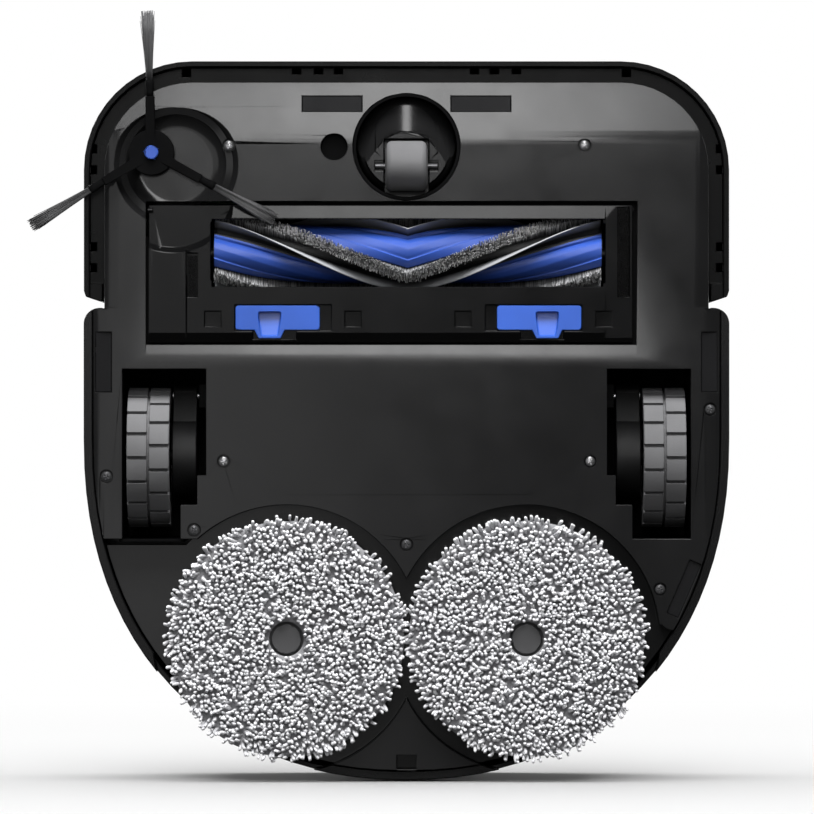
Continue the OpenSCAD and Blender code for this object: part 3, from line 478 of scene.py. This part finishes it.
def chenille(side, seed):
    """The fingers of one pad and the felt disc that they are sewn to."""
    rng = np.random.default_rng(seed)
    node = f"mop_pad_{side}"
    lo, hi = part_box(node)
    centre = np.array([(lo.x + hi.x) / 2, (lo.y + hi.y) / 2, 0.0])
    one_each = (MOP_STRANDS, 1)
    # the roots, along a sunflower spiral
    index = np.arange(MOP_STRANDS) + 0.5
    inner, outer = PAD_HOLE + 0.8 * MM, PAD_RADIUS - 1.2 * MM
    radius = np.sqrt(inner**2 + (outer**2 - inner**2) * index / MOP_STRANDS)
    angle = index * math.pi * (3 - math.sqrt(5))
    root = np.stack([radius * np.cos(angle), radius * np.sin(angle),
                     np.full(MOP_STRANDS, FINGER_ROOT)], -1)
    root[:, :2] += rng.normal(0, 0.55 * MM, (MOP_STRANDS, 2))
    out = unit(root * [1, 1, 0])
    reach = np.clip((radius - 0.84 * PAD_RADIUS) / (0.16 * PAD_RADIUS), 0, 1)[:, None]
    # neighbouring fingers lean the same way, in tufts
    tuft = rng.normal(0, 1, (MOP_TUFTS, 2))
    tuft_at = rng.uniform(-PAD_RADIUS, PAD_RADIUS, (MOP_TUFTS, 2))
    nearest = np.argmin(((root[:, None, :2] - tuft_at[None]) ** 2).sum(-1), 1)
    lean = np.zeros_like(root)
    lean[:, :2] = (tuft[nearest] * 0.9 + rng.normal(0, 0.8, (MOP_STRANDS, 2))) * MM
    lean += out * reach * rng.uniform(1.2, 5.6, one_each) * MM
    drop = rng.uniform(3.4, 5.1, one_each) * MM
    drop = drop * (1 - 0.55 * reach * rng.uniform(0, 1, one_each))
    tip = root + lean - UP * drop
    # the tips stay near the pad, and clear of its hole
    tip_radius = np.linalg.norm(tip[:, :2], axis=1, keepdims=True)
    tip[:, :2] *= np.minimum(1.0, (PAD_RADIUS + 2.2 * MM) / tip_radius)
    tip_radius = np.linalg.norm(tip[:, :2], axis=1, keepdims=True)
    tip[:, :2] *= np.maximum(1.0, (PAD_HOLE - 0.6 * MM) / tip_radius)
    bow = rng.normal(0, 0.35 * MM, root.shape)
    steps = np.array([0.0, 0.45, 0.85, 0.97, 1.0])
    paths = root[:, None] * (1 - steps[None, :, None]) + tip[:, None] * steps[None, :, None]
    paths += bow[:, None] * np.sin(steps * math.pi)[None, :, None]
    thick = rng.uniform(0.78, 1.0, one_each) * MM
    radii = thick * np.array([0.75, 0.95, 0.98, 0.72, 0.3])[None, :]
    verts, loops, totals, along, owner = strands(paths, radii, 6)
    verts[:, 2] = np.maximum(verts[:, 2], FINGER_LOWEST)
    tone = rng.uniform(0.75, 1.0, MOP_STRANDS)[owner]
    build(f"mop_chenille_{side}", verts + centre, loops, totals, "mop_fabric", f"mop_{side}",
          "mop_fabric", hides=(node,), attributes={"tone": tone, "along": along**0.8})
    # the felt disc, whose last ring joins its first
    count, columns = len(FELT_RADIUS), 96
    turn = full_turn(columns)
    wobble = rng.normal(0, 0.12 * MM, (count, columns))
    wobble[[0, 1, 7]] = 0
    felt = FELT_RADIUS[:, None] + wobble
    height = np.broadcast_to(FELT_HEIGHT[:, None], (count, columns))
    rows = np.stack([felt * np.cos(turn), felt * np.sin(turn), height], -1)
    here, ahead = np.arange(columns), (np.arange(columns) + 1) % columns
    last = (count - 1) * columns
    closing = np.stack([last + here, last + ahead, ahead, here], -1)
    faces = np.concatenate([grid_faces(count, columns), closing])
    backing = build(f"mop_backing_{side}", rows.reshape(-1, 3) + centre, faces,
                    np.full(len(faces), 4), "mop_backing", f"mop_{side}", "mop_fabric", hides=(node,))
    recalc(backing)


chenille("left", 11)
chenille("right", 12)


# ---- Roller brush: lobed core, bristle strips and wiper blades, wound to a V in the middle ----

core_lo, core_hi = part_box("brush_core")
ROLLER_AXIS = at(0.7, -83, 22.8)
ROLL_HALF = 96.5 * MM
THIRDS = (0, 120, 240)
# how far the strips and the blades wind from the middle to an end
ROLL_TWIST = math.radians(124)
BLADE_TWIST = math.radians(142)
# where the strips stand at the middle, and the blades from them, in degrees
STRIP_TURN = -40.0
BLADE_OFFSET = -40.0
# section of one third of the core, in degrees and millimetres, and where its black part starts
# in one third and ends in the next, in degrees
LOBE_DEGREES = [0, 7, 9, 26, 28.5, 34, 48, 60, 68, 72, 76, 83, 88, 92, 95, 100, 110, 120]
LOBE_RADIUS = [12.6, 12.9, 14.1, 14.7, 14.2, 14.5, 14.9, 14.5, 13.7, 13.0, 13.8, 14.1, 13.2, 12.2,
               12.2, 12.4, 12.6, 12.6]
# the black part is partly the blade's black rubber carrier and partly painted shadow of the blade
LOBE_BLACK_FROM, LOBE_BLACK_TO = 80, 6
# radius at the foot of a blade, its depth, and its section as radius and offset, in millimetres
BLADE_FOOT, BLADE_DEPTH = 12.2, 7.0
BLADE_SECTION = [(12.2, -1.5), (12.9, -1.3), (13.6, -0.75), (15.5, -0.55), (17.6, -0.45),
                 (18.8, -0.45), (19.15, -0.25), (19.2, 0.0), (19.15, 0.25), (18.8, 0.45),
                 (17.6, 0.45), (15.5, 0.55), (13.6, 0.75), (12.9, 1.3), (12.2, 1.5)]
BRISTLE_FOOT = 12.9 * MM


def on_roller(x, degrees, radius, twist=ROLL_TWIST):
    """Points on the roller: x from its middle, the winding angle at the middle, and the radius."""
    angle = np.radians(degrees) + twist * np.abs(x) / ROLL_HALF
    return np.stack([ROLLER_AXIS.x + x, ROLLER_AXIS.y - radius * np.sin(angle),
                     ROLLER_AXIS.z - radius * np.cos(angle)], -1)


def roller_core():
    left, right = np.linspace(-ROLL_HALF, 0, 71), np.linspace(0, ROLL_HALF, 71)
    stations = np.unique(np.concatenate([left, right]))
    degrees = np.arange(0, 360, 2.0)
    radius = np.interp(degrees % 120, LOBE_DEGREES, LOBE_RADIUS) * MM
    x, d = np.meshgrid(stations, degrees + STRIP_TURN, indexing="ij")
    tube = Tubes()
    tube.add(on_roller(x, d, np.broadcast_to(radius, x.shape)))
    core = build("roller_core", *tube.arrays(), "blue_plastic", "roller", "blue_plastic",
                 hides=("brush_core",), extra=("brush_rubber",))
    recalc(core)
    # the black band: partly the blade's rubber carrier, partly painted shadow of the blade
    black = (degrees % 120 >= LOBE_BLACK_FROM) | (degrees % 120 < LOBE_BLACK_TO)
    index = np.zeros(len(core.data.polygons), np.int32)
    index[:x.size - len(degrees)] = np.tile(black.astype(np.int32), len(stations) - 1)
    core.data.polygons.foreach_set("material_index", index)
    core.data.set_sharp_from_angle(angle=math.radians(24))


def roller_shaft():
    """The roller's shaft, which widens to a collar beside each end of the core."""
    collar_left, collar_right = (ROLLER_AXIS.x - ROLL_HALF - 0.4 * MM,
                                 ROLLER_AXIS.x + ROLL_HALF + 0.4 * MM)
    x = np.array([core_lo.x, core_lo.x, core_lo.x + 0.4 * MM, collar_left, collar_left,
                  collar_right, collar_right, core_hi.x - 0.4 * MM, core_hi.x, core_hi.x])
    radius = np.array([0.01, 2.6, 3.0, 3.0, 12.4, 12.4, 3.0, 3.0, 2.6, 0.01]) * MM
    columns = 40
    turn = full_turn(columns)
    verts = np.stack([np.broadcast_to(x[:, None], (len(x), columns)),
                      ROLLER_AXIS.y + radius[:, None] * np.cos(turn),
                      ROLLER_AXIS.z + radius[:, None] * np.sin(turn)], -1).reshape(-1, 3)
    faces = grid_faces(len(x), columns)
    shaft = build("roller_shaft", verts, faces, np.full(len(faces), 4), "black_plastic", "roller",
                  "black_plastic", hides=("brush_core",))
    recalc(shaft)
    shaft.data.set_sharp_from_angle(angle=math.radians(35))


def roller_bristles():
    rng = np.random.default_rng(21)
    per_half, rows = 205, 8
    all_paths = []
    for turn in THIRDS:
        for side in (-1, 1):
            x, row = np.meshgrid(np.linspace(0.3 * MM, ROLL_HALF - 0.5 * MM, per_half),
                                 np.linspace(-1, 1, rows), indexing="ij")
            x = (x + rng.uniform(-0.22, 0.22, x.shape) * MM).ravel() * side
            row = (row + rng.uniform(-0.12, 0.12, row.shape)).ravel()
            degrees = STRIP_TURN + turn + row * 5.2
            fan = row * 4.6
            long = rng.uniform(19.0, 20.0, x.shape) * MM
            base = on_roller(x, degrees, np.full(x.shape, BRISTLE_FOOT))
            lean = rng.normal(0, 0.9, x.shape)
            mid_x = x + rng.normal(0, 0.12, x.shape) * MM
            mid = on_roller(mid_x, degrees + lean * 0.5 + fan * 0.4, (long + BRISTLE_FOOT) / 2)
            end_x = x + rng.normal(0, 0.3, x.shape) * MM
            end = on_roller(end_x, degrees + lean + fan, long)
            all_paths.append(np.stack([base, mid, end], 1))
    paths = np.concatenate(all_paths)
    verts, loops, totals, along, owner = strands(paths, np.array([0.26, 0.24, 0.2]) * MM, 3)
    # dark, middling and pale bristles
    tone = rng.choice([0.0, 0.45, 1.0], len(paths), p=[0.26, 0.26, 0.48])
    tone = tone * rng.uniform(0.75, 1.0, len(paths))
    build("roller_bristles", verts, loops, totals, "bristle", "roller", "bristle",
          hides=("brush_bristles",), smooth=False, attributes={"tone": tone[owner], "along": along})


def roller_blades():
    """Three rubber wipers per half, thick at the foot, bowed, with a rounded tip."""
    radius = np.array([p[0] for p in BLADE_SECTION]) * MM
    across = np.array([p[1] for p in BLADE_SECTION]) * MM
    depth = (radius / MM - BLADE_FOOT) / BLADE_DEPTH
    bow = 3.0 * np.sin(depth * math.pi)
    stations = np.linspace(-ROLL_HALF + 0.3 * MM, ROLL_HALF - 0.3 * MM, 161)
    x, r = np.meshgrid(stations, radius, indexing="ij")
    tubes = Tubes()
    for turn in THIRDS:
        degrees = STRIP_TURN + BLADE_OFFSET + turn + np.degrees(across / radius) + bow
        tubes.add(on_roller(x, np.broadcast_to(degrees, x.shape), r, BLADE_TWIST))
    along = np.tile(np.broadcast_to(depth, x.shape).ravel(), len(THIRDS))
    blades = build("roller_blades", *tubes.arrays(), "blade_rubber", "roller", "brush_rubber",
                   hides=("brush_blades",), attributes={"along": along})
    recalc(blades)


roller_core()
roller_shaft()
roller_bristles()
roller_blades()


# ---- Side brush: rubber sleeves and tufts on its three arms ----

SIDE_AXIS = middle("side_brush_cap")
SIDE_FOOT = np.array([SIDE_AXIS.x, SIDE_AXIS.y, 0.0])
SIDE_ANGLES = (-91.5, 28.5, 148.5)
# distances from the axis in millimetres
TUFT_START = 33.0
TUFT_REACH = 71.0
# section of a sleeve at stations along its arm, in millimetres
SLEEVE_RADII = np.array([27.0, 30.0, 33.5, 35.2, 36.0, 36.0])
SLEEVE_HALF_WIDTH = np.array([1.75, 1.85, 2.1, 2.15, 1.8, 0.05])
SLEEVE_HALF_DEPTH = np.array([1.2, 1.2, 1.25, 1.2, 0.9, 0.05])


def arm_axes(degrees):
    """Unit vectors along an arm and across it."""
    a = math.radians(degrees)
    return np.array([math.cos(a), math.sin(a), 0]), np.array([-math.sin(a), math.cos(a), 0])


def arm_height(radius):
    """Height of the middle of an arm above the floor, in millimetres."""
    return np.maximum(1.5, 6.6 - 4.6 * radius / TUFT_REACH)


def side_tufts():
    rng = np.random.default_rng(31)
    per_arm, rings = 190, 5
    paths = []
    for degrees in SIDE_ANGLES:
        along, side = arm_axes(degrees)
        spread = rng.uniform(-1, 1, (per_arm, 1))
        lift = rng.uniform(-1, 1, (per_arm, 1))
        length = TUFT_REACH - rng.uniform(0, 4.5, (per_arm, 1)) ** 1.2 - 0.4
        steps = np.linspace(0, 1, rings)[None, :]
        radius = TUFT_START + (length - TUFT_START) * steps
        width = 1.3 + (3.0 - 1.3) * steps**1.25
        bend = rng.normal(0, 0.35, (per_arm, 1)) * steps**2
        offset = spread * width + bend
        height = arm_height(radius) + lift * (0.8 - 0.35 * steps)
        paths.append(SIDE_FOOT + along * (radius * MM)[..., None] + side * (offset * MM)[..., None]
                     + UP * (height * MM)[..., None])
    paths = np.concatenate(paths)
    radii = np.array([0.24, 0.23, 0.21, 0.18, 0.12]) * MM
    verts, loops, totals, share, owner = strands(paths, radii, 4)
    verts[:, 2] = np.maximum(verts[:, 2], 0.2 * MM)
    tone = rng.uniform(0.2, 1.0, len(paths))[owner]
    build("side_brush_fibres", verts, loops, totals, "black_bristle", "side_brush", "bristle",
          hides=("side_brush_tufts",), attributes={"tone": tone, "along": share})


def side_sleeves():
    """The soft rubber ferrules that carry the tufts on from the arms."""
    turn = full_turn(14)
    across = np.sign(np.cos(turn)) * np.abs(np.cos(turn)) ** 0.6
    deep = np.sign(np.sin(turn)) * np.abs(np.sin(turn)) ** 0.6
    height = arm_height(SLEEVE_RADII)[:, None] + SLEEVE_HALF_DEPTH[:, None] * deep
    tubes = Tubes()
    for degrees in SIDE_ANGLES:
        along, side = arm_axes(degrees)
        tubes.add(SIDE_FOOT + along * (SLEEVE_RADII * MM)[:, None, None]
                  + side * (SLEEVE_HALF_WIDTH[:, None] * across * MM)[..., None]
                  + UP * (height * MM)[..., None])
    sleeves = build("side_brush_sleeves", *tubes.arrays(), "black_matte", "side_brush",
                    "brush_rubber", hides=("side_brush_tufts",))
    recalc(sleeves)


# ---- Bristle strips beside the mouth of the roller guard ----

# x from and to, y from and to, and the height of the tips, then the height of the roots, in the
# body frame in millimetres
GUARD_STRIPS = ((105.5, 110.8, -106, -61.5, 6.6), (-108.9, -104, -82, -61.5, 6.2))
GUARD_STRIP_ROOT = 8.9


def guard_strips():
    rng = np.random.default_rng(41)
    paths = []
    for x0, x1, y0, y1, z in GUARD_STRIPS:
        count = int((y1 - y0) * 2.6)
        y, row = np.meshgrid(np.linspace(y0 + 0.3, y1 - 0.3, count),
                             np.linspace(x0 + 0.35, x1 - 0.35, 9), indexing="ij")
        y = y.ravel() + rng.uniform(-0.15, 0.15, y.size)
        x = row.ravel() + rng.uniform(-0.15, 0.15, y.size)
        base = np.stack([x, y, np.full(y.size, GUARD_STRIP_ROOT)], -1)
        lean = np.stack([rng.normal(0, 0.15, y.size), rng.normal(0, 0.2, y.size),
                         np.zeros(y.size)], -1)
        end = base * [1, 1, 0] + lean + UP * (z + 0.15 + rng.uniform(0, 0.5, (y.size, 1)))
        end[:, 0] = np.clip(end[:, 0], x0 + 0.2, x1 - 0.2)
        end[:, 1] = np.clip(end[:, 1], y0 + 0.2, y1 - 0.2)
        paths.append(np.stack([base, (base + end) / 2, end], 1))
    paths = np.concatenate(paths) * MM + np.array(ORIGIN)
    verts, loops, totals, along, owner = strands(paths, np.array([0.22, 0.21, 0.16]) * MM, 4)
    tone = rng.uniform(0.2, 1.0, len(paths))[owner]
    build("guard_bristle_fibres", verts, loops, totals, "seal_bristle", "brush_guard", "bristle",
          hides=("guard_bristles",), attributes={"tone": tone, "along": along})


side_tufts()
side_sleeves()
guard_strips()


# ---- The blank rating label, a thin sheet with round corners stuck under the chassis ----

# In the body frame in millimetres; the underside of the chassis plate is at LABEL_Z
LABEL_X = (-63.0, 63.0)
LABEL_Y = (-16.0, 37.0)
LABEL_CORNER = 3.0
LABEL_Z = 9.5


def label_sheet():
    (x0, x1), (y0, y1) = LABEL_X, LABEL_Y
    x0, x1, y0, y1 = x0 + LABEL_CORNER, x1 - LABEL_CORNER, y0 + LABEL_CORNER, y1 - LABEL_CORNER
    outline = []
    for cx, cy, start in ((x1, y1, 0), (x0, y1, 90), (x0, y0, 180), (x1, y0, 270)):
        for step in range(7):
            a = math.radians(start + step * 15)
            outline.append((cx + LABEL_CORNER * math.cos(a), cy + LABEL_CORNER * math.sin(a)))
    top, low = LABEL_Z + 0.06, LABEL_Z - 0.14
    verts = [tuple(at(x, y, z)) for z in (top, low) for x, y in outline]
    count = len(outline)
    loops = list(range(count)) + list(range(2 * count - 1, count - 1, -1))
    for k in range(count):
        loops += [k, k + count, (k + 1) % count + count, (k + 1) % count]
    totals = [count, count] + [4] * count
    sheet = build("label_sheet", verts, loops, totals, "black_shell", "body", "black_plastic",
                  smooth=False)
    recalc(sheet)


label_sheet()


# ---- Screw heads with a cross recess ----

# Places in the body frame, and sizes, in millimetres
SILVER_AT = ((-88.5, -136.9), (88.8, -137.0), (-91.2, 20.6), (91.6, 20.6))
DARK_AT = ((-149.6, 28.1), (-105.9, 54.8), (0, 62), (151.3, -5.3), (126.4, 84.4))
HEAD_RADIUS = 2.4
HEAD_DOME = 0.55
HEAD_DEPTH = 1.3
RECESS_DEPTH = 0.75


def recess_arm(x, y):
    """How deep one arm of the cross is, from 0 to 1: narrow in x, long in y."""
    return np.clip((0.42 - np.abs(x)) / 0.14, 0, 1) * np.clip((1.45 - np.abs(y)) / 0.3, 0, 1)


def screw_heads(name, node, places, material, slot):
    """Domed heads facing down, each a polar grid with a cross pressed into it."""
    rng = random.Random(51)
    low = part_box(node)[0].z / MM
    tubes = Tubes()
    r = np.linspace(0.02, 1, 16)[:, None] * HEAD_RADIUS
    t = full_turn(64)[None, :]
    dome = HEAD_DOME * (1 - (r / HEAD_RADIUS) ** 2.4)
    rim = np.stack([HEAD_RADIUS * np.cos(t), HEAD_RADIUS * np.sin(t),
                    np.full(t.shape, low + HEAD_DEPTH)], -1)
    for x, y in places:
        turned = t - rng.uniform(0, math.pi / 2)
        cx, cy = r * np.cos(turned), r * np.sin(turned)
        recess = np.maximum(recess_arm(cx, cy), recess_arm(cy, cx))
        z = HEAD_DOME - dome + recess * RECESS_DEPTH + low
        top = np.stack([r * np.cos(t), r * np.sin(t), z], -1)
        points = np.concatenate([top, rim]) * MM
        points[..., 0] += at(x, y).x
        points[..., 1] += at(x, y).y
        tubes.add(points)
    heads = build(name, *tubes.arrays(), material, "body", slot, hides=(node,))
    recalc(heads)


screw_heads("silver_screw_heads", "silver_screws", SILVER_AT, "steel", "steel")
screw_heads("dark_screw_heads", "dark_screws", DARK_AT, "dark_steel", "black_plastic")


# ---- World ----

# How bright the world is to the camera, in reflections and to everything else
SEEN_STRENGTH = 1.0
MIRRORED_STRENGTH = 0.05
AMBIENT_STRENGTH = 0.15


def mix_shader(tree, factor, a, b):
    """Shader a where factor is 0 and shader b where it is 1."""
    node = tree.nodes.new("ShaderNodeMixShader")
    for socket, source in zip(node.inputs, (factor, a, b)):
        tree.links.new(source, socket)
    return node.outputs[0]


def world_light():
    world = bpy.data.worlds.new("studio")
    bpy.context.scene.world = world
    world.use_nodes = True
    tree = world.node_tree
    tree.nodes.clear()
    shaders = []
    for strength in (SEEN_STRENGTH, MIRRORED_STRENGTH, AMBIENT_STRENGTH):
        node = tree.nodes.new("ShaderNodeBackground")
        node.inputs["Color"].default_value = (1, 1, 1, 1)
        node.inputs["Strength"].default_value = strength
        shaders.append(node.outputs[0])
    seen, mirrored, ambient = shaders
    rays = tree.nodes.new("ShaderNodeLightPath").outputs
    unseen = mix_shader(tree, rays["Is Glossy Ray"], ambient, mirrored)
    surface = mix_shader(tree, rays["Is Camera Ray"], unseen, seen)
    tree.links.new(surface, tree.nodes.new("ShaderNodeOutputWorld").inputs[0])


world_light()
bpy.context.scene.view_settings.view_transform = "Standard"


# ---- Studio lights ----

def softbox(name, place, aim, size, radiance, glossy=True, diffuse=True):
    """A rectangular studio light of even radiance, which the camera doesn't see."""
    light = bpy.data.lights.new(name, "AREA")
    light.shape = "RECTANGLE"
    light.size, light.size_y = size
    light.energy = radiance * size[0] * size[1] * math.pi
    obj = bpy.data.objects.new(name, light)
    bpy.context.scene.collection.objects.link(obj)
    obj.location = place
    obj.rotation_euler = (Vector(aim) - Vector(place)).to_track_quat("-Z", "Y").to_euler()
    obj.visible_camera = False
    obj.visible_glossy = glossy
    obj.visible_diffuse = diffuse
    return obj


AIM = at(0, 0, 20)
FRONT = at(0, -150, 15)
# the strip that the front ramp mirrors, from 4 to 51 degrees ahead of straight below
softbox("ramp_strip", FRONT + Vector((0, -1.35, -2.6)), FRONT, (0.47, 2.5), 7.2, diffuse=False)
front_key = softbox("front_key", AIM + Vector((0, -2.75, -1.25)), AIM, (2.6, 1.3), 19.5,
                    glossy=False)
softbox("mop_fill", AIM + Vector((0, -1.5, -2.6)), AIM + Vector((0, 0.1, 0)), (1.4, 0.9), 3.8,
        glossy=False)
softbox("sheen_left", AIM + Vector((-1.0, 0, -3.1)), AIM, (0.9, 2.0), 0.62, diffuse=False)
top_key = softbox("top_key", AIM + Vector((-1.2, -1.0, 2.6)), AIM, (1.8, 1.8), 10.0)
softbox("side_left", AIM + Vector((-3.0, -0.4, 1.3)), AIM, (1.2, 2.0), 4.0)
softbox("side_right", AIM + Vector((3.0, -0.4, 1.3)), AIM, (1.2, 2.0), 4.0)
softbox("rear_key", AIM + Vector((0.4, 2.4, 1.9)), AIM, (2.4, 1.2), 2.0, glossy=False)


# ---- Floor under the rear end, on which the robot stands upright in this view ----

FLOOR_Y = shell_hi.y + 0.0008
FLOOR_X = 0.8
FLOOR_Z = (-0.6, 1.6)
FLOOR_COLOUR = (0.93, 0.93, 0.93, 1)
# heights between which the floor turns from lit to plain white
FLOOR_FADE = (0.0, 0.95)


def stage_plane(name, corners):
    """A pale floor seen from one side only."""
    mesh = bpy.data.meshes.new(name)
    mesh.from_pydata([tuple(c) for c in corners], [], [(0, 1, 2, 3)])
    obj = bpy.data.objects.new(name, mesh)
    bpy.context.scene.collection.objects.link(obj)
    mat = bpy.data.materials.new(name)
    mat.use_nodes = True
    tree = mat.node_tree
    nodes, links = tree.nodes, tree.links
    nodes.clear()
    pale = nodes.new("ShaderNodeBsdfDiffuse")
    pale.inputs["Color"].default_value = FLOOR_COLOUR
    white = nodes.new("ShaderNodeEmission")
    clear = nodes.new("ShaderNodeBsdfTransparent")
    coord = nodes.new("ShaderNodeTexCoord")
    split = nodes.new("ShaderNodeSeparateXYZ")
    fade = nodes.new("ShaderNodeMapRange")
    fade.interpolation_type = "SMOOTHSTEP"
    fade.inputs["From Min"].default_value, fade.inputs["From Max"].default_value = FLOOR_FADE
    links.new(coord.outputs["Object"], split.inputs[0])
    links.new(split.outputs["Z"], fade.inputs["Value"])
    shade = mix_shader(tree, fade.outputs["Result"], pale.outputs[0], white.outputs[0])
    behind = nodes.new("ShaderNodeNewGeometry").outputs["Backfacing"]
    surface = mix_shader(tree, behind, shade, clear.outputs[0])
    links.new(surface, nodes.new("ShaderNodeOutputMaterial").inputs[0])
    mesh.materials.append(mat)
    obj.visible_glossy = False
    obj.visible_diffuse = False
    return obj


def light_only(light, obj, state):
    """Ties a light to one object, or keeps it off that object, by INCLUDE or EXCLUDE."""
    group = bpy.data.collections.new(f"{light.name}_{obj.name}")
    group.objects.link(obj)
    group.collection_objects[0].light_linking.link_state = state
    light.light_linking.receiver_collection = group


floor = stage_plane("floor", [(-FLOOR_X, FLOOR_Y, FLOOR_Z[0]), (FLOOR_X, FLOOR_Y, FLOOR_Z[0]),
                              (FLOOR_X, FLOOR_Y, FLOOR_Z[1]), (-FLOOR_X, FLOOR_Y, FLOOR_Z[1])])
light_only(front_key, floor, "EXCLUDE")
light_only(top_key, floor, "EXCLUDE")
floor_light = softbox("floor_light", Vector((0, FLOOR_Y - 1.6, 0.05)), Vector((0, FLOOR_Y, 0.05)),
                      (2.4, 2.4), 1.92)
light_only(floor_light, floor, "INCLUDE")


# ---- Camera, straight below the robot ----

CAMERA_LENS = 291
CAMERA_SENSOR = 36
CAMERA_AT = (0.25, -6.5, -3270)

camera_data = bpy.data.cameras.new("camera")
camera_data.lens = CAMERA_LENS
camera_data.sensor_width = CAMERA_SENSOR
camera = bpy.data.objects.new("camera", camera_data)
bpy.context.scene.collection.objects.link(camera)
camera.location = at(*CAMERA_AT)
camera.rotation_euler = (math.pi, 0, 0)
bpy.context.scene.camera = camera
